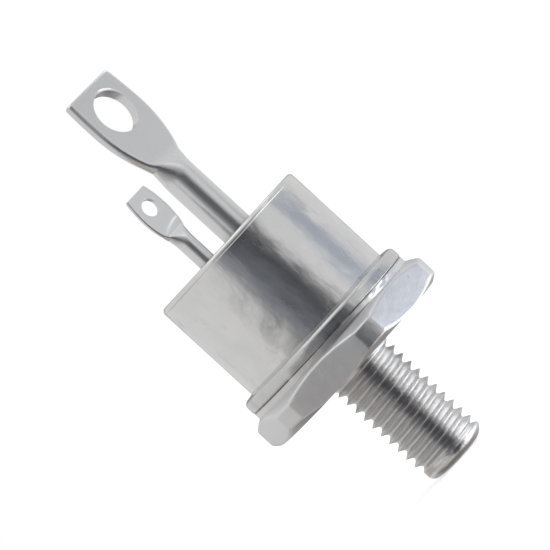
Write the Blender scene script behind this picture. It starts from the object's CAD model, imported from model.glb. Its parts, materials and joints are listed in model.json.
"""Stud-mounted thyristor: threaded base, welded can and pressed lugs, in satin plated metal."""

import json
import math
from collections import namedtuple

import bmesh
import bpy
from mathutils import Matrix, Vector, noise


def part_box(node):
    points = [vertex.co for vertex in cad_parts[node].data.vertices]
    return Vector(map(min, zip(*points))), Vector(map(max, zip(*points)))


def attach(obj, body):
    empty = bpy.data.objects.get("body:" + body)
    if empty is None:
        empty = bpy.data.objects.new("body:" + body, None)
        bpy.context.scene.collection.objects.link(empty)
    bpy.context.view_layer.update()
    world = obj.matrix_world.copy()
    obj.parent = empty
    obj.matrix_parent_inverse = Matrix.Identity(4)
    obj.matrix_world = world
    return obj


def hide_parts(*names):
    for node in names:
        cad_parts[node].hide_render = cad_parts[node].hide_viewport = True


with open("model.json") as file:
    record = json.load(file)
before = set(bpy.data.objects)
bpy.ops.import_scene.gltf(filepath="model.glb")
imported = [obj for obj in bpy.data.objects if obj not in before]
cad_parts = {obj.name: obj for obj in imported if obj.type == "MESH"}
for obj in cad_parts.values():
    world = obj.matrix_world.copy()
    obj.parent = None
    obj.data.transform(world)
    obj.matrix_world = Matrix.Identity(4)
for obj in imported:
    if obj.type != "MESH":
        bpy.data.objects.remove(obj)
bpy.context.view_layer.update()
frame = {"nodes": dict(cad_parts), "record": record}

MM = 0.001


# What the frame holds, in millimetres to a thousandth

Point = namedtuple("Point", "x y z")


def in_mm(place):
    """A place in the frame, in millimetres."""
    return Point(*(round(length / MM, 3) for length in place))


def lowest(node):
    """The lowest corner of a solid's box."""
    return in_mm(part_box(node)[0])


def highest(node):
    """The highest corner of a solid's box."""
    return in_mm(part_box(node)[1])


def mount(name):
    """A mount of the record."""
    return next(row for row in frame["record"]["mounts"] if row["name"] == name)


def place_of(name):
    """Where a mount lies."""
    return in_mm(mount(name)["pos_m"])


def radius_of(name):
    """The radius of a mount's pin or hole."""
    return mount(name)["dims"]["r_mm"]


# Camera: halfway between the lugs' front and the gate lug's side, level with the can's top

CAMERA_SIDE = 225
FOCAL_LENGTH = 331.4
SENSOR = 36
LEFT_TILT = math.radians(47.42)
AIM = Vector((0.506, -0.506, 9.52)) * MM
STAND = Vector((-282.3, -283.3, 14.0)) * MM


def make_camera():
    """A long lens, tilted to the left, so that the object's far side is hardly smaller than its near side."""
    lens = bpy.data.cameras.new("camera")
    lens.lens = FOCAL_LENGTH
    lens.sensor_width = SENSOR
    camera = bpy.data.objects.new("camera", lens)
    back = (STAND - AIM).normalized()
    right = Vector((0, 0, 1)).cross(back).normalized()
    up = back.cross(right)
    across = right * math.cos(LEFT_TILT) - up * math.sin(LEFT_TILT)
    upward = right * math.sin(LEFT_TILT) + up * math.cos(LEFT_TILT)
    camera.matrix_world = Matrix.Translation(STAND) @ Matrix((across, upward, back)).transposed().to_4x4()
    bpy.context.scene.collection.objects.link(camera)
    bpy.context.scene.camera = camera


# Half of the angle that one side of the hex takes up, in degrees

HALF_SIDE = 30

# Sizes in millimetres, with heights above the seating face. They come from the frame where it holds them, and
# the others are the same as in the solids

STUD_R = radius_of("stud")
STUD_LEN = -lowest("stud_base").z
TIP_CHAMFER = 0.7
FLAT_R = highest("stud_base").y
CORNER_CUT = 0.52
CORNER_R = FLAT_R / math.cos(math.radians(HALF_SIDE)) - CORNER_CUT
HEX_T = lowest("ring_braze").z
BEVEL_H = 0.62
SEAT_BEVEL_H = 0.44
BEVEL_SLOPE = math.tan(math.radians(30))
PEDESTAL_R = 6.6
PEDESTAL_TOP = highest("stud_base").z
RING_R = highest("weld_ring").x
RING_BASE = lowest("weld_ring").z
SEAM = lowest("can").z
FLANGE_R = highest("can").x
FLANGE_W = 1.035
FLANGE_T = 1.05
FLANGE_TOP = SEAM + FLANGE_T
CAN_R = FLANGE_R - FLANGE_W
CAN_WALL = 0.8
BORE_R = CAN_R - CAN_WALL
CAN_TOP = highest("can").z
CAN_TOP_T = 1.2
CEILING = CAN_TOP - CAN_TOP_T
EDGE_R = 0.45
CATHODE_X = place_of("cathode_hole").x
CATHODE_SEAL_R = highest("cathode_glass").x - CATHODE_X
GATE_X = place_of("gate_hole").x
GATE_SEAL_R = GATE_X - lowest("gate_glass").x
TUBE_BASE = lowest("cathode_terminal").z
BORE_STOP = 0.35

# The thread, which the solid leaves out. A run-out is how far it stops from the seat or the tip, and the
# length in which it reaches its full depth. The tip is worn on one side below a height, and round at its end

PITCH = 0.907
THREAD_DEPTH = 0.53
CREST_AT = -1.19
CREST_TURN = math.radians(-45)
CREST_BLUNT = 0.1
SCREW_TOP = -0.02
SEAT_RUN_OUT = (0.1, 0.6)
TIP_RUN_OUT = (0.8, 0.5)
WORN_SIDE = math.radians(135)
WORN_DEPTH = 0.2
WORN_BELOW = (1.8, 0.5)
TIP_ROUND = 0.8
TIP_ROUND_H = 0.09
TIP_BLEND = 0.22

# How sharply the hex's flats meet its bevels, and its turned corners between them

BEVEL_BLEND = 0.18
CORNER_BLEND = 0.09
BLEND_H = 0.2

# Uneven rims: their limit inside the flats, the weld's spill, and how the ring's foot stands back on one
# side. Sides and spreads are in degrees round the axis

RIM_LIMIT = FLAT_R - 0.02
SPILL_SIDE = 266
SPILL_SPREAD = 13
SPILL_DROP = 0.1
SPILL_H = 0.22
SPILL_SIZE = 0.17
FOOT_SIDE = 237
FOOT_SPREAD = 17
FOOT_GAP = 0.16
FOOT_H = 0.14


# Shader building

# The Mix node has sockets of the same names for other kinds of data, so those for colours go by number
MIX_SHARE = 0
MIX_FIRST = 6
MIX_SECOND = 7
MIX_COLOUR = 2


class Link:
    """One output of a shader node. Arithmetic on it adds Math nodes."""

    def __init__(self, finish, socket):
        self.finish = finish
        self.socket = socket

    def maths(self, operation, first, second):
        """The result of a Math node."""
        return self.finish.node("ShaderNodeMath", {"operation": operation}, {0: first, 1: second})

    def __add__(self, other):
        return self.maths("ADD", self, other)

    def __radd__(self, other):
        return self.maths("ADD", other, self)

    def __sub__(self, other):
        return self.maths("SUBTRACT", self, other)

    def __rsub__(self, other):
        return self.maths("SUBTRACT", other, self)

    def __mul__(self, other):
        return self.maths("MULTIPLY", self, other)

    def __rmul__(self, other):
        return self.maths("MULTIPLY", other, self)


class Finish:
    """A material being made. One method adds any node, and the others name what this object needs."""

    def __init__(self, name, tree=None):
        if tree is None:
            self.material = bpy.data.materials.new(name)
            self.material.use_nodes = True
            tree = self.material.node_tree
        self.tree = tree
        self.tree.nodes.clear()

    def node(self, kind, settings=None, sockets=None, out=0):
        """Adds a node with its settings, then the values or links of its sockets, and gives one output."""
        made = self.tree.nodes.new(kind)
        for name, value in (settings or {}).items():
            setattr(made, name, value)
        for name, value in (sockets or {}).items():
            if isinstance(value, Link):
                self.tree.links.new(value.socket, made.inputs[name])
            else:
                made.inputs[name].default_value = value
        return Link(self, made.outputs[out]) if made.outputs else made

    def place(self, stretch=(1, 1, 1)):
        """The point on the object in metres, with its axes scaled."""
        point = self.node("ShaderNodeTexCoord", out="Object")
        if stretch == (1, 1, 1):
            return point
        return self.node("ShaderNodeVectorMath", {"operation": "MULTIPLY"}, {0: point, 1: stretch})

    def part(self, point, axis):
        """One coordinate of a point."""
        return self.node("ShaderNodeSeparateXYZ", None, {0: point}, out=axis)

    def height(self):
        """How high the point lies above the seating face, in metres."""
        return self.part(self.place(), "Z")

    def radius(self):
        """How far the point lies from the stud's axis, in metres."""
        flat = self.place((1, 1, 0))
        return self.node("ShaderNodeVectorMath", {"operation": "LENGTH"}, {0: flat}, out="Value")

    def cloud(self, size_mm, stretch=(1, 1, 1), detail=2.0, roughness=0.5, distortion=0.0):
        """Soft noise between 0 and 1, whose patches are about size_mm across."""
        sockets = {"Vector": self.place(stretch), "Scale": 1000 / size_mm, "Detail": detail,
                   "Roughness": roughness, "Distortion": distortion}
        return self.node("ShaderNodeTexNoise", None, sockets)

    def spots(self, spacing_mm, size):
        """Scattered round spots: 1 in a spot, 0 away from it. The size is a share of the spacing."""
        sockets = {"Vector": self.place(), "Scale": 1000 / spacing_mm}
        return self.step(self.node("ShaderNodeTexVoronoi", None, sockets), 0.0, size, 1.0, 0.0)

    def step(self, value, low, high, start=0.0, end=1.0):
        """A smooth step from start to end, as the value goes from low to high."""
        sockets = {"Value": value, "From Min": low, "From Max": high, "To Min": start, "To Max": end}
        return self.node("ShaderNodeMapRange", {"interpolation_type": "SMOOTHSTEP"}, sockets)

    def step_mm(self, length, low_mm, high_mm, start=0.0, end=1.0):
        """The same step over a length in metres, with its limits in millimetres."""
        return self.step(length, low_mm * MM, high_mm * MM, start, end)

    def blend(self, share, first, second):
        """Two colours, mixed by a share."""
        sockets = {MIX_SHARE: share, MIX_FIRST: first, MIX_SECOND: second}
        return self.node("ShaderNodeMix", {"data_type": "RGBA"}, sockets, out=MIX_COLOUR)

    def soiled(self, colour):
        """A colour with uneven dirt in the welded seam."""
        off = self.node("ShaderNodeMath", {"operation": "ABSOLUTE"}, {0: self.height() - SEAM * MM})
        groove = self.step_mm(off, 0.02, 0.17, 1.0, 0.0)
        patches = self.step(self.cloud(1.6, detail=3), 0.3, 0.5)
        return self.blend(groove * patches * 0.7, colour, grey(0.3, 0.01, 0.0))

    def bump(self, height, depth_mm, under=None):
        """A relief of the given depth in millimetres, on top of another one."""
        sockets = {"Height": height, "Distance": depth_mm * MM, "Strength": 1.0}
        if under is not None:
            sockets["Normal"] = under
        return self.node("ShaderNodeBump", None, sockets)

    def choose(self, share, first, second):
        """One shader where the share is 0, and another where it is 1."""
        return self.node("ShaderNodeMixShader", None, {0: share, 1: first, 2: second})

    def shown(self, shader):
        """Ends the material with its shader."""
        self.node("ShaderNodeOutputMaterial", None, {"Surface": shader})
        return self.material

    def surface(self, colour, rough, relief, metallic=0.0, **more):
        """The shader of a solid surface. Names of more sockets are written with underscores."""
        sockets = {"Base Color": colour, "Metallic": metallic, "Roughness": rough, "Normal": relief}
        sockets.update({name.replace("_", " "): value for name, value in more.items()})
        return self.shown(self.node("ShaderNodeBsdfPrincipled", None, sockets))

    def metal(self, colour, rough, relief):
        """The shader of bare or plated metal."""
        return self.surface(colour, rough, relief, metallic=1.0)


def grey(value, red=0.0, blue=0.0):
    """A grey in linear light, with a little more or less red and blue."""
    return (value + red, value, value + blue, 1)


# Finishes

def plated_can():
    """Satin plating over drawn steel: upright drawing marks, dents, waves, stains, and a darker flange."""
    f = Finish("plated_can")
    broad = f.cloud(4.5, detail=3, roughness=0.55)
    mottle = f.step(f.cloud(1.7, (1, 1, 0.7), detail=5, roughness=0.6), 0.3, 0.7)
    stain = f.step(f.cloud(2.6, (1, 1, 0.6), detail=5, roughness=0.62, distortion=0.6), 0.52, 0.7)
    drawn = f.cloud(0.16, (1, 1, 0.06), detail=2)
    grain = f.cloud(0.09, detail=2)
    flange = f.step_mm(f.height(), 4.3, 4.6, 1.0, 0.0)
    colour = f.blend(broad, grey(0.665, -0.004, 0.008), grey(0.71, 0.003, -0.008))
    colour = f.blend(mottle * 0.5, colour, grey(0.76, 0.012, -0.012))
    colour = f.blend(stain * 0.6, colour, grey(0.5, -0.012, 0.028))
    colour = f.blend(flange * 0.5, colour, grey(0.52))
    rough = 0.17 + broad * 0.08 + stain * 0.12 + drawn * 0.05
    dents = f.bump(f.cloud(2.8, (1, 1, 0.8), detail=1), 0.11)
    waves = f.bump(f.cloud(1.5, (1, 1, 0.6), detail=2.5, roughness=0.55), 0.05, dents)
    marks = f.bump(drawn, 0.004, waves)
    return f.metal(f.soiled(colour), rough, f.bump(grain, 0.0025, marks))


def plated_base():
    """Dull bright plating over the turned base: a few nicks, and a smoother thread with browned roots."""
    f = Finish("plated_base")
    broad = f.cloud(3.2, detail=4, roughness=0.6)
    fine = f.cloud(0.12, detail=3)
    thread = f.step_mm(f.height(), -0.4, -0.1, 1.0, 0.0)
    root = f.step_mm(f.radius(), 2.55, 2.9, 1.0, 0.0) * thread
    nicks = f.spots(1.5, 0.09) * f.step(f.cloud(3.0), 0.5, 0.6)
    colour = f.blend(broad, grey(0.70, -0.006, 0.014), grey(0.75, 0.0, 0.006))
    colour = f.blend(root * 0.35, colour, grey(0.45, 0.03, -0.03))
    colour = f.blend(nicks * 0.6, colour, grey(0.3))
    rough = 0.31 + broad * 0.08 + fine * 0.04 - thread * 0.08
    waves = f.bump(f.cloud(0.9, detail=3) * (1 + thread * 1.4), 0.03)
    return f.metal(colour, rough, f.bump(fine, 0.0015, waves))


def plated_steel():
    """Plating over the turned weld ring."""
    f = Finish("plated_steel")
    broad = f.cloud(2.2, detail=4, roughness=0.6)
    lathe = f.cloud(0.1, (0.2, 0.2, 1), detail=2)
    colour = f.blend(broad, grey(0.70, 0, 0.01), grey(0.75, 0.004, -0.004))
    waves = f.bump(f.cloud(0.8, detail=3), 0.02)
    return f.metal(f.soiled(colour), 0.28 + broad * 0.14, f.bump(lathe, 0.004, waves))


def plated_lug():
    """Satin plating over pressed tube, a little darker towards the cathode lug's tip."""
    f = Finish("plated_lug")
    broad = f.cloud(2.4, (1, 1, 0.5), detail=3, roughness=0.55)
    drawn = f.cloud(0.12, (1, 1, 0.05), detail=2)
    tip = f.step_mm(f.height(), 23, 31, 0.0, 0.6)
    colour = f.blend(broad, grey(0.70, 0.0, 0.006), grey(0.74, 0.002, 0.0))
    colour = f.blend(tip, colour, grey(0.64, 0.002, 0.0))
    colour = f.blend(f.spots(0.9, 0.14) * 0.25, colour, grey(0.42))
    rough = 0.22 + broad * 0.08 + drawn * 0.05
    waves = f.bump(f.cloud(1.3, (1, 1, 0.4), detail=2), 0.012)
    return f.metal(colour, rough, f.bump(drawn, 0.003, waves))


def seal_glass():
    """Dark fused glass with faint swirls and bubbles."""
    f = Finish("seal_glass")
    swirl = f.cloud(0.7, detail=4, distortion=1.2)
    bubbles = f.spots(0.35, 0.16)
    colour = f.blend(swirl, (0.035, 0.06, 0.07, 1), (0.07, 0.11, 0.12, 1))
    colour = f.blend(bubbles * 0.5, colour, (0.2, 0.26, 0.27, 1))
    rough = 0.08 + bubbles * 0.2
    return f.surface(colour, rough, f.bump(swirl, 0.01), IOR=1.5, Coat_Weight=0.5, Coat_Roughness=0.04)


def soft_metal(name, dark, light, rough, patch_mm, depth_mm):
    """Solder, braze and other dull metal with a mottled skin."""
    f = Finish(name)
    patch = f.cloud(patch_mm, detail=5, roughness=0.65)
    fine = f.cloud(patch_mm / 6, detail=2)
    relief = f.bump(fine, depth_mm, f.bump(patch, depth_mm * 2))
    return f.metal(f.blend(patch, dark, light), rough + patch * 0.15, relief)


def ground_disc():
    """Ground molybdenum: fine parallel grinding lines."""
    f = Finish("ground_disc")
    lines = f.cloud(0.05, (1, 0.03, 1), detail=2)
    patch = f.cloud(2.5, detail=3)
    colour = f.blend(lines, grey(0.40, 0, 0.012), grey(0.50, 0, 0.016))
    return f.metal(colour, 0.3 + patch * 0.12, f.bump(lines, 0.003))


def silicon_pellet():
    """Polished silicon, with an etched edge."""
    f = Finish("silicon_pellet")
    patch = f.cloud(1.2, detail=4)
    etched = f.step_mm(f.radius(), 4.3, 4.5)
    colour = f.blend(etched, (0.10, 0.11, 0.15, 1), (0.16, 0.17, 0.20, 1))
    return f.surface(colour, 0.12 + etched * 0.35 + patch * 0.06, f.bump(patch, 0.002), metallic=0.6)


def cured_coating():
    """Red-brown silicone."""
    f = Finish("cured_coating")
    patch = f.cloud(0.8, detail=4)
    colour = f.blend(patch, (0.26, 0.05, 0.035, 1), (0.34, 0.08, 0.05, 1))
    return f.surface(colour, 0.35 + patch * 0.2, f.bump(patch, 0.03))


def bare_copper():
    """Drawn copper wire and its pressed foot, slightly browned."""
    f = Finish("bare_copper")
    patch = f.cloud(1.6, detail=4, roughness=0.6)
    drawn = f.cloud(0.1, (1, 1, 0.05), detail=2)
    colour = f.blend(patch, (0.62, 0.30, 0.17, 1), (0.80, 0.46, 0.31, 1))
    return f.metal(colour, 0.28 + patch * 0.16, f.bump(drawn, 0.004))


def white_sleeve():
    """Matt white tubing, faintly ribbed."""
    f = Finish("white_sleeve")
    patch = f.cloud(0.5, detail=4)
    rib = f.cloud(0.12, (0.2, 0.2, 1), detail=1)
    colour = f.blend(patch, (0.72, 0.70, 0.62, 1), (0.82, 0.80, 0.73, 1))
    return f.surface(colour, 0.6 + patch * 0.15, f.bump(rib, 0.015))


# Mesh building

# Points nearer to each other than this are one, and shorter edges are dropped, in metres
MERGE = 2e-7
SHORTEST = 1e-7


def held(value, low=0.0, high=1.0):
    """A value, kept between two limits."""
    return min(high, max(low, value))


def ease(value):
    """A smooth step from 0 to 1, as the value goes from 0 to 1."""
    share = held(value)
    return share * share * (3 - 2 * share)


def bell(off, spread):
    """1 in the middle, and falling off smoothly at both sides."""
    return math.exp(-(off / spread) ** 2)


def softer_of(first, second, blur):
    """The smaller of two lengths, with a rounded change from one to the other."""
    mix = held(0.5 + 0.5 * (second - first) / blur)
    return second + (first - second) * mix - blur * mix * (1 - mix)


def spun(r, z, angle):
    """A point at a radius and a height, turned round the axis."""
    return (r * math.cos(angle), r * math.sin(angle), z)


def rounded(corners, steps=6):
    """An outline of (r, z, corner radius) with its corners turned into arcs."""
    points = []
    count = len(corners)
    for i, (r, z, size) in enumerate(corners):
        here = Vector((r, z))
        if size <= 0:
            points.append(here)
            continue
        before = Vector(corners[i - 1][:2]) - here
        after = Vector(corners[(i + 1) % count][:2]) - here
        half = before.angle(after) / 2
        reach = size / math.tan(half)
        middle = here + (before.normalized() + after.normalized()).normalized() * size / math.sin(half)
        spoke = here + before.normalized() * reach - middle
        other = here + after.normalized() * reach - middle
        sweep = math.pi - 2 * half
        turn = 1 if spoke.x * other.y > spoke.y * other.x else -1
        for k in range(steps + 1):
            angle = turn * sweep * k / steps
            points.append(middle + Vector((spoke.x * math.cos(angle) - spoke.y * math.sin(angle),
                                           spoke.x * math.sin(angle) + spoke.y * math.cos(angle))))
    return [(p.x, p.y) for p in points]


def divided(points, longest):
    """A closed outline with every side cut into lengths no longer than the given one."""
    out = []
    for i, (r, z) in enumerate(points):
        r2, z2 = points[(i + 1) % len(points)]
        parts = max(1, math.ceil(math.hypot(r2 - r, z2 - z) / longest))
        out += [(r + (r2 - r) * k / parts, z + (z2 - z) * k / parts) for k in range(parts)]
    return out


class Skin:
    """The points and faces of a piece being made, in millimetres."""

    def __init__(self):
        self.points = []
        self.faces = []

    def add(self, points):
        """Adds points, and gives their numbers."""
        first = len(self.points)
        self.points.extend(points)
        return list(range(first, len(self.points)))

    def join(self, near, far):
        """Faces between two closed rings of equally many points."""
        for j in range(len(near)):
            k = (j + 1) % len(near)
            self.faces.append((near[j], near[k], far[k], far[j]))

    def fan(self, ring, tip):
        """Faces between a closed ring and one point."""
        self.faces += [(ring[j], ring[(j + 1) % len(ring)], tip) for j in range(len(ring))]


def turned(outline, columns, shift):
    """A skin from a closed outline turned round the axis, where shift moves a point (r, z, angle)."""
    skin = Skin()
    rows = len(outline)
    for j in range(columns):
        angle = 2 * math.pi * j / columns
        skin.add([spun(*shift(r, z, angle), angle) for r, z in outline])
    for j in range(columns):
        near, far = j * rows, (j + 1) % columns * rows
        for k in range(rows):
            after = (k + 1) % rows
            skin.faces.append((near + k, near + after, far + after, far + k))
    return skin


def make_piece(name, skin, material, node, crease=32):
    """A closed mesh in the place of a solid, with edges sharper than the crease left hard."""
    mesh = bpy.data.meshes.new(name)
    mesh.from_pydata([Vector(p) * MM for p in skin.points], [], skin.faces)
    shape = bmesh.new()
    shape.from_mesh(mesh)
    bmesh.ops.remove_doubles(shape, verts=shape.verts, dist=MERGE)
    bmesh.ops.dissolve_degenerate(shape, edges=shape.edges, dist=SHORTEST)
    bmesh.ops.recalc_face_normals(shape, faces=shape.faces)
    shape.to_mesh(mesh)
    shape.free()
    mesh.shade_smooth()
    mesh.set_sharp_from_angle(angle=math.radians(crease))
    piece = bpy.data.objects.new(name, mesh)
    bpy.context.scene.collection.objects.link(piece)
    mesh.materials.append(material)
    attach(piece, "root")
    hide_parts(node)
    return piece


# The base: hex, pedestal and threaded stud in one closed skin

def hex_angles():
    """Column angles round the base, close together where a flat meets a turned corner."""
    edge = math.degrees(math.acos(FLAT_R / CORNER_R))
    flat = {edge * k / 9 * 0.97 for k in range(-9, 10)}
    corner = {edge + step for step in (-0.35, 0, 0.35, 0.8)} | {27.4, 28.7}
    side = flat | corner | {-a for a in corner} | {HALF_SIDE}
    return sorted(math.radians((a + HALF_SIDE + 2 * HALF_SIDE * k) % 360) for k in range(6) for a in side)


def hex_reach(angle, radius, z):
    """How far the base stands out at an angle: the hex's flat, or a radius where that is smaller."""
    off = math.degrees(angle) % (2 * HALF_SIDE) - HALF_SIDE
    level = ease((z - SEAT_BEVEL_H) / BLEND_H) * ease((HEX_T - BEVEL_H - z) / BLEND_H)
    blend = BEVEL_BLEND + (CORNER_BLEND - BEVEL_BLEND) * level
    return softer_of(FLAT_R / math.cos(math.radians(off)), radius, blend)


def thread_reach(angle, z):
    """The stud's radius at an angle and height: a right-hand thread with narrow crests and round roots."""
    turns = (z - CREST_AT) / PITCH - (angle - CREST_TURN) / (2 * math.pi)
    depth = math.hypot(math.sin(math.pi * turns), CREST_BLUNT) - CREST_BLUNT
    cut = THREAD_DEPTH * depth / (math.hypot(1, CREST_BLUNT) - CREST_BLUNT)
    height = z + STUD_LEN
    cut *= ease((-z - SEAT_RUN_OUT[0]) / SEAT_RUN_OUT[1]) * ease((height - TIP_RUN_OUT[0]) / TIP_RUN_OUT[1])
    worn = WORN_DEPTH * (0.5 + 0.5 * math.cos(angle - WORN_SIDE))
    cut = max(cut, worn * ease((WORN_BELOW[0] - height) / WORN_BELOW[1]))
    chamfer = STUD_R - TIP_CHAMFER + height - TIP_ROUND * math.exp(-height / TIP_ROUND_H)
    return softer_of(STUD_R - cut, chamfer, TIP_BLEND)


def base_outline():
    """The base's outline from the top of the pedestal out over the hex and in to the stud."""
    outline = divided(rounded([
        (0, PEDESTAL_TOP, 0),
        (PEDESTAL_R, PEDESTAL_TOP, 0.12),
        (PEDESTAL_R, HEX_T, 0.1),
        (CORNER_R - BEVEL_H / BEVEL_SLOPE, HEX_T, 0.02),
        (CORNER_R, HEX_T - BEVEL_H, 0.25),
        (CORNER_R, SEAT_BEVEL_H, 0.3),
        (CORNER_R - SEAT_BEVEL_H / BEVEL_SLOPE, 0, 0.1),
        (STUD_R, 0, 0),
    ]), longest=0.05)
    seat = 0.001
    last = max(k for k, (r, z) in enumerate(outline) if r >= STUD_R and z <= seat)
    return outline[1:last + 1]


def add_thread(skin, angles):
    """Rows of points that wind round the stud from the seat to the tip, and the faces between them."""
    phases = [0, 0.03, 0.06, 0.11, 0.17, 0.23, 0.28, 0.33, 0.38, 0.44,
              0.5, 0.56, 0.62, 0.67, 0.72, 0.77, 0.83, 0.89, 0.94, 0.97]
    start = CREST_AT - PITCH * CREST_TURN / (2 * math.pi)
    start += PITCH * math.ceil(-start / PITCH)
    rows = []
    for turn in range(math.ceil(STUD_LEN / PITCH) + 3):
        for phase in phases:
            climb = [start + PITCH * angle / (2 * math.pi) - PITCH * (turn + phase) for angle in angles]
            heights = [held(z, -STUD_LEN, SCREW_TOP) for z in climb]
            rows.append(skin.add([spun(thread_reach(a, z), z, a) for a, z in zip(angles, heights)]))
    return rows, len(phases)


def close_thread(skin, rows, step):
    """Faces between the rows, whose last columns meet the first ones of the rows one turn away."""
    last = len(rows) - 1
    for near, far in zip(rows, rows[1:]):
        for j in range(len(near) - 1):
            skin.faces.append((near[j], near[j + 1], far[j + 1], far[j]))
    for i in range(last + step):
        high, low = held(i - step, 0, last), held(i - step + 1, 0, last)
        upper, lower = min(last, i), min(last, i + 1)
        corners = (rows[upper][-1], rows[high][0], rows[low][0], rows[lower][-1])
        if len(set(corners)) > 2:
            skin.faces.append(tuple(dict.fromkeys(corners)))


def make_base(material):
    """The hex with its pedestal and its threaded stud."""
    skin = Skin()
    angles = hex_angles()
    crown = skin.add([(0, 0, PEDESTAL_TOP)])[0]
    rows = [skin.add([spun(hex_reach(angle, r, z), z, angle) for angle in angles]) for r, z in base_outline()]
    screw, step = add_thread(skin, angles)
    for near, far in zip(rows, rows[1:] + [screw[0]]):
        skin.join(near, far)
    skin.faces += [(crown, after, here) for here, after in zip(rows[0], rows[0][1:] + rows[0][:1])]
    close_thread(skin, screw, step)
    rim = [skin.points[k] for k in screw[-1]]
    ring = screw[-1]
    for share in (0.8, 0.55, 0.3):
        inner = skin.add([(x * share, y * share, z) for x, y, z in rim])
        skin.join(ring, inner)
        ring = inner
    skin.fan(ring, skin.add([(0, 0, -STUD_LEN)])[0])
    make_piece("threaded_base", skin, material, "stud_base", crease=40)


# The weld ring and the can

def ripple(angle, z, size, seed):
    """Uneven noise round the rims, from -1 to 1, with waves of about the given size in millimetres."""
    rim_r = 8.5
    return noise.noise(Vector(spun(rim_r, z, angle)) / size + Vector((seed, seed, seed)))


def spill(angle, z):
    """Beads of metal that the weld threw out on one side of the seam."""
    window = bell(math.degrees(angle) - SPILL_SIDE, SPILL_SPREAD) * bell(z - SEAM + SPILL_DROP, SPILL_H)
    return SPILL_SIZE * window * max(0.0, ripple(angle, z, size=0.45, seed=21) + 0.1)


def make_ring(material):
    """The weld ring, with an uneven rim, and a foot that stands back on one side."""
    rim = 8.2
    outline = divided(rounded([
        (BORE_R, RING_BASE, 0),
        (RING_R, RING_BASE, 0.01),
        (RING_R, SEAM, 0.11),
        (BORE_R, SEAM, 0),
    ], steps=5), longest=0.04)

    def shift(r, z, angle):
        if r < rim:
            return r, z
        near = bell(math.degrees(angle) - FOOT_SIDE, FOOT_SPREAD)
        gap = FOOT_GAP * near * ease(1 - (z - RING_BASE) / FOOT_H)
        return min(RIM_LIMIT, r + 0.012 * ripple(angle, z, size=1.1, seed=3) + spill(angle, z)) - gap, z

    make_piece("turned_ring", turned(outline, 240, shift), material, "weld_ring")


def make_can(material):
    """The can: a fine groove below its top edge, an uneven welded flange, and two holes for the seals."""
    groove = CAN_TOP - EDGE_R + 0.02
    flange = CAN_R + 0.2
    outline = divided(rounded([
        (BORE_R, SEAM, 0),
        (FLANGE_R, SEAM, 0.1),
        (FLANGE_R, FLANGE_TOP - 0.02, 0.45),
        (CAN_R + 0.09, FLANGE_TOP + 0.12, 0.02),
        (CAN_R - 0.03, FLANGE_TOP + 0.13, 0.03),
        (CAN_R, FLANGE_TOP + 0.25, 0.03),
        (CAN_R, groove - 0.06, 0.02),
        (CAN_R - 0.035, groove, 0.01),
        (CAN_R - 0.005, groove + 0.04, 0.02),
        (CAN_R - 0.005, CAN_TOP, EDGE_R - 0.08),
        (0.001, CAN_TOP, 0),
        (0.001, CEILING, 0),
        (BORE_R, CEILING, EDGE_R),
    ], steps=7), longest=0.35)

    def shift(r, z, angle):
        if r > flange:
            weld = 0.5 + 0.5 * ripple(angle, z, size=1.3, seed=11)
            r += 0.018 * ripple(angle, z, size=0.5, seed=7) * weld + spill(angle, z)
            z += 0.018 * ripple(angle, r, size=0.6, seed=5) * min(1, (r - flange) / 0.3)
            return min(RIM_LIMIT, r), z
        if z > FLANGE_TOP and r > CAN_R - 0.1:
            return r + 0.006 * ripple(angle, z, size=3.0, seed=2), z
        return r, z

    piece = make_piece("drawn_can", turned(outline, 240, shift), material, "can")
    drill(piece, CATHODE_X, CATHODE_SEAL_R)
    drill(piece, GATE_X, GATE_SEAL_R)


def drill(piece, x, radius):
    """Cuts a seal's hole through the can's top."""
    depth = 3
    shape = bmesh.new()
    bmesh.ops.create_cone(shape, cap_ends=True, segments=72, radius1=radius * MM, radius2=radius * MM,
                          depth=depth * MM, matrix=Matrix.Translation(Vector((x, 0, CAN_TOP - 0.6)) * MM))
    mesh = bpy.data.meshes.new("drill")
    shape.to_mesh(mesh)
    shape.free()
    tool = bpy.data.objects.new("drill", mesh)
    bpy.context.scene.collection.objects.link(tool)
    cut = piece.modifiers.new("hole", "BOOLEAN")
    cut.operation = "DIFFERENCE"
    cut.solver = "EXACT"
    cut.object = tool
    graph = bpy.context.evaluated_depsgraph_get()
    result = bpy.data.meshes.new_from_object(piece.evaluated_get(graph))
    piece.modifiers.clear()
    old = piece.data
    piece.data = result
    result.name = old.name + "_cut"
    bpy.data.meshes.remove(old)
    bpy.data.objects.remove(tool)
    bpy.data.meshes.remove(mesh)
    piece.data.set_sharp_from_angle(angle=math.radians(32))


# The lugs: round tubes pressed flat at the top, with punched holes

# How much a tube widens for each part of its depth that the press takes
CLOSING = math.sqrt(2)
# How many columns of points go round each end of a section, and along each of its flats
ENDS = 24
FLATS = 14


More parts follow.
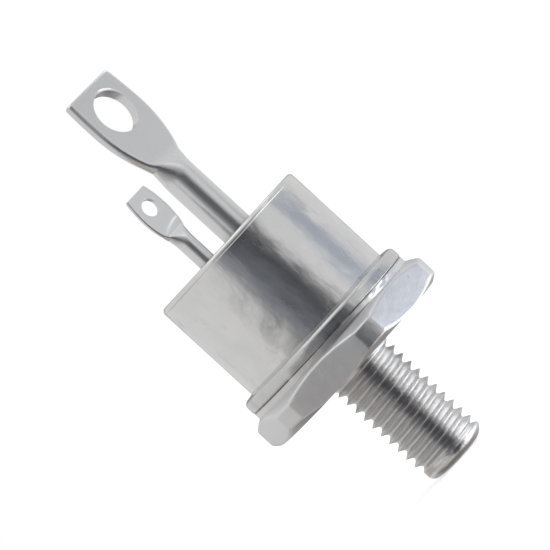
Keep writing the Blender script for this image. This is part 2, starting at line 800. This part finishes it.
class Lug:
    """The shape of one lug about its own axis, in millimetres. Its tip and its hole are the frame's."""

    def __init__(self, node, hole, twist, lean, forward, tube_r, bore_r,
                 press, press_len, soft_press, widen, widen_len, blade_w, tip_w, blade_t,
                 rim_roll, rim_rise, fold_depth=0.0):
        self.node = node
        self.x = place_of(hole).x
        self.twist = math.radians(twist)
        self.lean = math.tan(math.radians(lean))
        self.forward = forward
        self.tube_r = tube_r
        self.bore_r = bore_r
        self.bore_top = press - BORE_STOP
        self.press = press
        self.press_len = press_len
        self.soft_press = soft_press
        self.widen = widen
        self.widen_len = widen_len
        self.tip = highest(node).z
        self.blade_w = blade_w
        self.tip_w = tip_w
        self.blade_t = blade_t
        self.lip = blade_t / 4
        self.hole_r = radius_of(hole)
        self.hole_z = place_of(hole).z
        self.rim_roll = rim_roll
        self.rim_rise = rim_rise
        self.fold_depth = fold_depth

    def pressed(self, z):
        """How far the press has closed the tube at a height, from 0 to 1: softly, or up to a firm edge."""
        share = held((z - self.press) / self.press_len)
        return ease(share) if self.soft_press else 1 - (1 - share * share) ** 1.2

    def half_closed(self, z):
        """A hump that is 1 where the press has closed the tube by half, and 0 at both ends."""
        return 4 * self.pressed(z) * (1 - self.pressed(z))

    def rounding(self, z):
        """How far the tip's rounded edge draws in at a height."""
        corner = held((z - self.tip + self.lip) / self.lip)
        return self.lip * (1 - math.sqrt(1 - corner * corner))

    def half_depth(self, z):
        """Half the lug's thickness at a height: the tube's radius, or half the blade."""
        return self.tube_r + (self.blade_t / 2 - self.tube_r) * self.pressed(z)

    def half_width(self, z):
        """The tube grows wider as it closes, and then the blade is spread."""
        depth = self.half_depth(z)
        closed = depth + (self.tube_r - depth) * CLOSING
        flat = self.blade_t / 2 + (self.tube_r - self.blade_t / 2) * CLOSING
        spread = 1 - (1 - held((z - self.widen) / self.widen_len)) ** 2
        full = self.widen + self.widen_len
        narrow = held((z - full) / (self.tip - full)) ** 2
        side = (self.blade_w / 2 - flat) * spread - (self.blade_w - self.tip_w) / 2 * narrow
        bulge = 0.05 * self.tube_r * self.half_closed(z)
        return closed + side + bulge

    def middle(self, z):
        """How far the blade's middle stands behind the tube's axis: it leans, and stands forward."""
        return (self.lean * (z - self.hole_z) - self.forward) * self.pressed(z)

    def fold(self, x, z):
        """The step that the press left in a curve across the blade, which is thicker below it."""
        line = self.press + 1.26 * self.press_len + 0.26 * x - 0.12 * x * x
        height = 0.36
        return self.fold_depth * self.pressed(z) * (1 - ease((z - line) / height))

    def section(self, z):
        """Points round the lug at a height: right end, back flat, left end, front flat."""
        rounding = self.rounding(z)
        half = self.half_depth(z) - 0.4 * rounding
        width = self.half_width(z) - rounding
        bow = min(width, half * (1 + 0.35 * self.half_closed(z)))
        flat = width - bow
        turns = [math.pi * k / ENDS - math.pi / 2 for k in range(ENDS + 1)]
        end = [(flat + bow * math.cos(turn), half * math.sin(turn)) for turn in turns]
        back = [(flat - 2 * flat * k / FLATS, half) for k in range(1, FLATS)]
        ring = end + back + [(-x, -y) for x, y in end + back]
        return [(x, y + math.copysign(self.fold(x, z) * min(1, abs(y) / half), y) + self.middle(z))
                for x, y in ring]

    def raised(self, angle):
        """How far the punch raised and rolled the rim at an angle, from 0 to 1: most at its upper right."""
        least = 0.15
        return least + (1 - least) * bell(angle - math.radians(64), 0.4)

    def rim(self, side, angle, out, up):
        """A point of the hole's rim or wall: out from the hole's edge, and up from the blade's face."""
        radius = self.hole_r + out
        z = self.hole_z + radius * math.sin(angle)
        return (radius * math.cos(angle), side * (self.blade_t / 2 + up) + self.middle(z), z)


def lug_heights(lug):
    """The heights of the rings, and the numbers of the two that frame the hole."""
    frame_r = 1.16 * lug.hole_r
    stops = [
        (TUBE_BASE, 1),
        (lug.press, 30),
        (lug.press + lug.press_len, 30),
        (lug.hole_z - frame_r, 16),
        (lug.hole_z + frame_r, 14),
        (lug.tip - lug.lip, 6),
    ]
    heights = [TUBE_BASE]
    marks = []
    for (low, _), (high, parts) in zip(stops, stops[1:]):
        heights += [low + (high - low) * k / parts for k in range(1, parts + 1)]
        marks.append(len(heights) - 1)
    heights += [lug.tip - lug.lip + lug.lip * math.sin(math.pi / 2 * k / 5) for k in range(1, 6)]
    return heights, marks[2], marks[3]


def add_hole_face(skin, lug, loop, side, lip_h):
    """The blade's face from a frame of points in to the hole, with its raised rim and rolled edge."""
    lip_w = 0.14 * lug.hole_r
    lip_steps = 8
    roll_steps = 4
    angles = [math.atan2(skin.points[j][2] - lug.hole_z, skin.points[j][0]) for j in loop]
    edge = [(angle, lug.raised(angle), lug.rim_roll * lug.raised(angle)) for angle in angles]
    outer = [lug.rim(side, angle, lip_w, 0) for angle in angles]
    rings = [loop]
    for share in (0.4, 0.75):
        rings.append(skin.add([tuple(a + (b - a) * share for a, b in zip(skin.points[j], rim))
                               for j, rim in zip(loop, outer)]))
    for step in range(lip_steps + 1):
        out = 1 - step / lip_steps
        up = lip_h * ease(1 - out)
        rings.append(skin.add([lug.rim(side, angle, roll + (lip_w - roll) * out, up * share)
                               for angle, share, roll in edge]))
    for k in range(1, roll_steps + 1):
        turn = math.pi / 2 * k / roll_steps
        rings.append(skin.add([lug.rim(side, angle, roll * (1 - math.sin(turn)),
                                       lip_h * share - roll * (1 - math.cos(turn)))
                               for angle, share, roll in edge]))
    for near, far in zip(rings, rings[1:]):
        skin.join(near, far)
    return rings[-1]


def add_bore(skin, lug, foot):
    """The tube's bore, up from the ring at its foot to a blind end."""
    end = 0.3
    around = [math.atan2(y, x) for x, y in lug.section(TUBE_BASE)]
    bore = [foot]
    for z in (TUBE_BASE, TUBE_BASE + end, lug.bore_top - end, lug.bore_top):
        bore.append(skin.add([spun(lug.bore_r, z, angle) for angle in around]))
    for near, far in zip(bore, bore[1:]):
        skin.join(near, far)
    skin.faces.append(tuple(bore[-1]))


def make_lug(name, lug, material):
    """One lug: rings up the tube and the blade, a tip, the hole's rims and wall, and the bore."""
    skin = Skin()
    heights, first, last = lug_heights(lug)
    rows = [skin.add([(x, y, z) for x, y in lug.section(z)]) for z in heights]
    count = len(rows[0])
    back = list(range(ENDS, ENDS + FLATS))
    front = [2 * ENDS + FLATS + k for k in range(FLATS)]
    for i, (near, far) in enumerate(zip(rows, rows[1:])):
        for j in range(count):
            if not (first <= i < last and j in back + front):
                k = (j + 1) % count
                skin.faces.append((near[j], near[k], far[k], far[j]))
    skin.fan(rows[-1], skin.add([(0, lug.middle(lug.tip), lug.tip)])[0])

    walls = []
    back_columns = [ENDS + FLATS] + back[::-1]
    front_columns = front + [0]
    for side, columns, lip_h in ((1, back_columns, 0.2 * lug.rim_rise), (-1, front_columns, lug.rim_rise)):
        loop = [rows[first][c] for c in columns]
        loop += [rows[i][columns[-1]] for i in range(first + 1, last)]
        loop += [rows[last][c] for c in reversed(columns)]
        loop += [rows[i][columns[0]] for i in range(last - 1, first, -1)]
        walls.append(add_hole_face(skin, lug, loop, side, lip_h))
    skin.join(walls[0], walls[1])
    add_bore(skin, lug, rows[0])

    c, s = math.cos(lug.twist), math.sin(lug.twist)
    skin.points = [(lug.x + x * c - y * s, x * s + y * c, z) for x, y, z in skin.points]
    make_piece(name, skin, material, lug.node, crease=50)


# Studio

def make_world():
    """White for the eye and through glass, pale grey in reflections, and softer as a light."""
    world = bpy.data.worlds.new("studio")
    bpy.context.scene.world = world
    world.use_nodes = True
    f = Finish("studio", world.node_tree)
    camera = f.node("ShaderNodeLightPath", out="Is Camera Ray")
    through = f.node("ShaderNodeLightPath", out="Is Transmission Ray")
    gloss = f.node("ShaderNodeLightPath", out="Is Glossy Ray")
    eye = camera.maths("MAXIMUM", camera, through)
    white = f.node("ShaderNodeBackground", None, {"Color": grey(1.0), "Strength": 1.0})
    light = f.node("ShaderNodeBackground", None, {"Color": (0.95, 0.97, 1, 1), "Strength": 0.62})
    tent = f.node("ShaderNodeBackground", None, {"Color": grey(1.0), "Strength": 0.8})
    mixed = f.choose(gloss, f.choose(eye, light, white), tent)
    f.node("ShaderNodeOutputWorld", None, {"Surface": mixed})


def make_floor():
    """A pale round floor under the stud's tip, which keeps the shadow and is clear from below."""
    drop = STUD_LEN + 0.03
    shape = bmesh.new()
    bmesh.ops.create_circle(shape, cap_ends=True, segments=96, radius=3.0,
                            matrix=Matrix.Translation((0, 0, -drop * MM)))
    mesh = bpy.data.meshes.new("floor")
    shape.to_mesh(mesh)
    shape.free()
    floor = bpy.data.objects.new("floor", mesh)
    bpy.context.scene.collection.objects.link(floor)
    f = Finish("pale_floor")
    paper = f.node("ShaderNodeBsdfDiffuse", None, {"Color": grey(0.86)})
    seen = f.node("ShaderNodeLightPath", out="Is Camera Ray")
    glow = f.node("ShaderNodeEmission", None, {"Color": grey(1.0), "Strength": seen * 0.52})
    lit = f.node("ShaderNodeAddShader", None, {0: paper, 1: glow})
    clear = f.node("ShaderNodeBsdfTransparent")
    under = f.node("ShaderNodeNewGeometry", out="Backfacing")
    mesh.materials.append(f.shown(f.choose(under, lit, clear)))
    floor.visible_glossy = False


def toward(turn, rise):
    """The direction of a point of the studio: turn to the left of the camera, and rise, in degrees."""
    angle = math.radians(CAMERA_SIDE - turn)
    lift = math.radians(rise)
    return Vector((math.cos(angle) * math.cos(lift), math.sin(angle) * math.cos(lift), math.sin(lift)))


# The cards of the light tent: name, turns and rises in degrees, distance in metres, tone, the shares of the
# width over which the sides are soft, the shares of the height over which foot and top are, and the slant
CARDS = [
    ("ground_card", (-180, 180), (-90, -12), 0.9, grey(0.22, 0.01, 0.0), (0, 0), (0, 0.5)),
    ("sky_card", (-180, 180), (64, 90), 0.89, grey(1.35), (0, 0), (0.4, 0)),
    ("softbox", (-128, -58), (-4, 60), 0.88, grey(0.82, -0.01, 0.012), (0.3, 0.3), (0.4, 0.35)),
    ("dim_card", (-4, 28), (-50, 50), 0.87, grey(0.32, -0.01, 0.03), (0.2, 0.12), (0.2, 0.2)),
    ("pale_card", (-108, -72), (-50, 50), 0.86, grey(0.66, -0.005, 0.01), (0.4, 0.4), (0.2, 0.2)),
    ("dark_card", (-52, 18), (-84, 52), 0.8, grey(0.05, 0.0, 0.01), (0.36, 0.24), (0.2, 0.2)),
    ("window_card", (-84, -66), (23, 40), 0.84, grey(1.6, -0.07, 0.09), (0.3, 0.3), (0.3, 0.3)),
    ("front_ground_card", (-105, 115), (-84, -20), 0.82, grey(0.6, 0.06, -0.07), (0.2, 0.2), (0, 0.5)),
    ("near_dark_card", (14, 58), (-3, 5), 0.07, grey(0.10), (0.2, 0.25), (0.2, 0.4)),
    ("near_blue_card", (-22, 26), (-2, 11), 0.075, grey(0.24, -0.02, 0.03), (0.5, 0.36), (0.2, 0.35), 18),
    ("near_low_card", (-44, 40), (0.7, 2.5), 0.074, grey(0.26, -0.01, 0.02), (0.25, 0.3), (0.15, 0.2)),
    ("near_white_card", (-142, -50), (-78, -1), 0.06, grey(2.3), (0.45, 0.14), (0.3, 0.03)),
    ("near_right_card", (-103, -65), (2, 16), 0.058, grey(0.45, -0.04, 0.08), (0.35, 0.35), (0.15, 0.25)),
    ("near_hex_card", (-120, -54), (-9, 4), 0.057, grey(0.55, -0.07, 0.13), (0.2, 0.2), (0.15, 0.25)),
    ("near_strip_card", (-13, 1), (3, 15), 0.056, grey(0.17, -0.01, 0.02), (0.3, 0.3), (0.2, 0.2)),
    ("back_card", (160, 200), (-40, 40), 0.81, grey(0.3), (0.35, 0.35), (0.3, 0.3)),
    ("near_warm_card", (16, 165), (-16, -3), 0.062, grey(0.3, 0.062, -0.05), (0.08, 0.25), (0.2, 0.15)),
    ("near_tip_card", (-60, 30), (25, 44), 0.061, grey(0.42), (0.1, 0.1), (0.16, 0.2)),
    ("near_rim_card", (-130, -106), (58, 72), 0.039, grey(2.2), (0.2, 0.2), (0.2, 0.2)),
]
CARD_STEPS = 24
CARD_EDGE = 0.001


def make_card(name, turns, rises, away, tone, soft, fade, slant=0.0):
    """A curved card that only gloss and glass show. The slant moves its foot to the left in degrees."""
    mesh = bpy.data.meshes.new(name)
    points, faces = [], []
    for i in range(CARD_STEPS + 1):
        for j in range(CARD_STEPS + 1):
            rise = rises[0] + (rises[1] - rises[0]) * j / CARD_STEPS
            left = turns[1] + slant * (1 - j / CARD_STEPS)
            turn = turns[0] + (left - turns[0]) * i / CARD_STEPS
            points.append(toward(turn, rise) * away)
    for i in range(CARD_STEPS):
        for j in range(CARD_STEPS):
            k = i * (CARD_STEPS + 1) + j
            faces.append((k, k + 1, k + CARD_STEPS + 2, k + CARD_STEPS + 1))
    mesh.from_pydata(points, [], faces)
    spread = mesh.uv_layers.new(name="spread")
    for loop in mesh.loops:
        i, j = divmod(loop.vertex_index, CARD_STEPS + 1)
        spread.data[loop.index].uv = (i / CARD_STEPS, j / CARD_STEPS)
    card = bpy.data.objects.new(name, mesh)
    bpy.context.scene.collection.objects.link(card)
    f = Finish(name)
    where = f.node("ShaderNodeTexCoord", out="UV")
    across, along = f.part(where, "X"), f.part(where, "Y")
    cover = f.step(across, -CARD_EDGE, soft[0]) * f.step(across, 1 - soft[1], 1 + CARD_EDGE, 1, 0)
    cover = cover * f.step(along, -CARD_EDGE, fade[0]) * f.step(along, 1 - fade[1], 1 + CARD_EDGE, 1, 0)
    glow = f.node("ShaderNodeEmission", None, {"Color": tone, "Strength": 1.0})
    clear = f.node("ShaderNodeBsdfTransparent")
    mesh.materials.append(f.shown(f.choose(cover, clear, glow)))
    card.visible_camera = False
    card.visible_diffuse = False
    card.visible_shadow = False


def make_lamp(name, turn, rise, power, size, colour):
    """A round lamp that looks at the object and doesn't show in gloss, with its size in metres."""
    away = 0.8
    data = bpy.data.lights.new(name, "AREA")
    data.shape = "DISK"
    data.size = size
    data.energy = power
    data.color = colour
    lamp = bpy.data.objects.new(name, data)
    way = toward(turn, rise)
    lamp.matrix_world = Matrix.Translation(way * away) @ way.to_track_quat("Z", "Y").to_matrix().to_4x4()
    lamp.visible_glossy = False
    bpy.context.scene.collection.objects.link(lamp)


bpy.context.scene.view_settings.view_transform = "Standard"
make_camera()
make_world()
make_floor()
for card in CARDS:
    make_card(*card)
make_lamp("key_lamp", turn=-65, rise=48, power=1.6, size=0.9, colour=(1, 1, 1))
make_lamp("fill_lamp", turn=70, rise=40, power=0.9, size=0.8, colour=(1, 0.99, 0.97))

can_finish = plated_can()
base_finish = plated_base()
steel_finish = plated_steel()
lug_finish = plated_lug()
glass_finish = seal_glass()
solder_finish = soft_metal("solder", grey(0.42), grey(0.60), 0.3, 0.6, 0.006)
braze_finish = soft_metal("braze", grey(0.66, 0.01, -0.01), grey(0.74, 0.01, -0.01), 0.34, 0.8, 0.005)
foil_finish = soft_metal("foil", grey(0.62), grey(0.74), 0.22, 0.5, 0.002)
disc_finish = ground_disc()
pellet_finish = silicon_pellet()
coating_finish = cured_coating()
copper_finish = bare_copper()
sleeve_finish = white_sleeve()

for name, finish in {
    "ring_braze": braze_finish,
    "cathode_glass": glass_finish,
    "gate_glass": glass_finish,
    "base_solder": solder_finish,
    "lower_disc": disc_finish,
    "bonding_foil": foil_finish,
    "pellet": pellet_finish,
    "junction_coating": coating_finish,
    "cathode_solder": solder_finish,
    "upper_disc": disc_finish,
    "lead_solder": solder_finish,
    "cathode_lead": copper_finish,
    "gate_solder": solder_finish,
    "gate_lead": copper_finish,
    "gate_sleeve": sleeve_finish,
    "cathode_tube_solder": solder_finish,
    "gate_tube_solder": solder_finish,
}.items():
    for holder in frame["nodes"][name].material_slots:
        holder.material = finish

make_base(base_finish)
make_ring(steel_finish)
make_can(can_finish)
cathode = Lug("cathode_terminal", "cathode_hole", twist=0, lean=1.9, forward=0.1, tube_r=1.46, bore_r=0.81,
              press=20.1, press_len=2.9, soft_press=True, widen=22, widen_len=5,
              blade_w=6.46, tip_w=6.1, blade_t=0.9, rim_roll=0.05, rim_rise=0.1)
gate = Lug("gate_terminal", "gate_hole", twist=-8, lean=0, forward=0, tube_r=0.76, bore_r=0.49,
           press=16.2, press_len=1.5, soft_press=False, widen=17.45, widen_len=2.3,
           blade_w=2.96, tip_w=2.42, blade_t=0.34, rim_roll=0.09, rim_rise=0, fold_depth=0.1)
make_lug("cathode_lug", cathode, lug_finish)
make_lug("gate_lug", gate, lug_finish)
